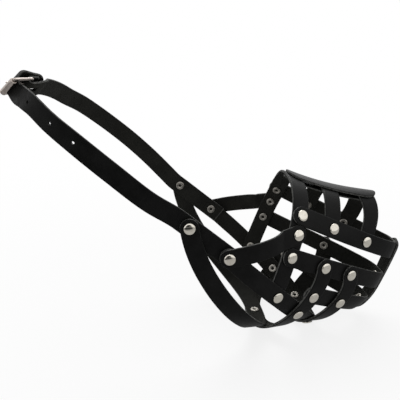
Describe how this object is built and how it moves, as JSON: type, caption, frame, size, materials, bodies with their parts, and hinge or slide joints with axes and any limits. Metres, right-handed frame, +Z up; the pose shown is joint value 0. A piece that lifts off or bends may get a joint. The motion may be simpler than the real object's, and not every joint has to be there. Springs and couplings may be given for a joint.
{
  "type": "basket muzzle",
  "caption": "Open dog muzzle of riveted black leather straps that cage the snout, with a swinging neck strap, throat strap and nickel roller buckle.",
  "frame": {"origin": "centre of the flat on the lowest rivet cap, under the throat strap, which the basket rests on", "axes": "+X forward towards the nose, +Y to the dog's left, +Z up"},
  "size_m": [0.357, 0.1695, 0.2446],
  "materials": {
    "black_leather": "smooth dyed grain side, suede flesh side, cut edges",
    "nickel": "bright nickel plate"
  },
  "bodies": {
    "basket": {"arch_rear": "black_leather", "arch_middle": "black_leather", "arch_front": "black_leather", "upper_side_strap": "black_leather", "lower_side_strap": "black_leather", "bottom_side_strap": "black_leather", "chin_sling": "black_leather", "throat_strap": "black_leather", "under_strap_rear": "black_leather", "under_strap_front": "black_leather", "cheek_strap_right": "black_leather", "cheek_strap_left": "black_leather", "front_strap": "black_leather", "nose_strip_cover": "black_leather", "nose_strip_lining": "black_leather", "rivet_upper_rear_right": "nickel", "rivet_upper_rear_left": "nickel", "rivet_upper_middle_right": "nickel", "rivet_upper_middle_left": "nickel", "rivet_upper_front_right": "nickel", "rivet_upper_front_left": "nickel", "rivet_lower_rear_right": "nickel", "rivet_lower_rear_left": "nickel", "rivet_lower_middle_right": "nickel", "rivet_lower_middle_left": "nickel", "rivet_lower_front_right": "nickel", "rivet_lower_front_left": "nickel", "rivet_bottom_rear_right": "nickel", "rivet_bottom_rear_left": "nickel", "rivet_bottom_front_right": "nickel", "rivet_bottom_front_left": "nickel", "rivet_sling_rear_right": "nickel", "rivet_sling_rear_left": "nickel", "rivet_sling_middle_right": "nickel", "rivet_sling_middle_left": "nickel", "rivet_sling_front_right": "nickel", "rivet_sling_front_left": "nickel", "rivet_cheek_right": "nickel", "rivet_cheek_left": "nickel", "rivet_neck_pivot_right": "nickel", "rivet_neck_pivot_left": "nickel", "rivet_throat_centre": "nickel", "rivet_front_upper": "nickel", "rivet_front_lower": "nickel", "rivet_front_bottom": "nickel"},
    "neck": {"neck_strap_billet": "black_leather", "neck_strap_buckle_half": "black_leather", "rivet_throat_right": "nickel", "rivet_throat_left": "nickel", "buckle_frame": "nickel"},
    "roller": {"buckle_roller": "nickel"},
    "prong": {"buckle_prong": "nickel"}
  },
  "joints": [
    {"name": "neck_swing", "type": "hinge", "parent": "basket", "child": "neck", "pos_m": [-0.03678, 0, 0.09255], "axis": [0, 1, 0], "range_deg": [-40, 6], "deforming": ["throat_strap"]},
    {"name": "roller_spin", "type": "hinge", "parent": "neck", "child": "roller", "pos_m": [-0.20959, -0.0445, 0.23144], "axis": [0.6499, -0.4988, 0.5735], "continuous": true},
    {"name": "prong_swing", "type": "hinge", "parent": "neck", "child": "prong", "pos_m": [-0.1983, -0.0305, 0.23082], "axis": [-0.6499, 0.4988, -0.5735], "range_deg": [0, 8]}
  ]
}
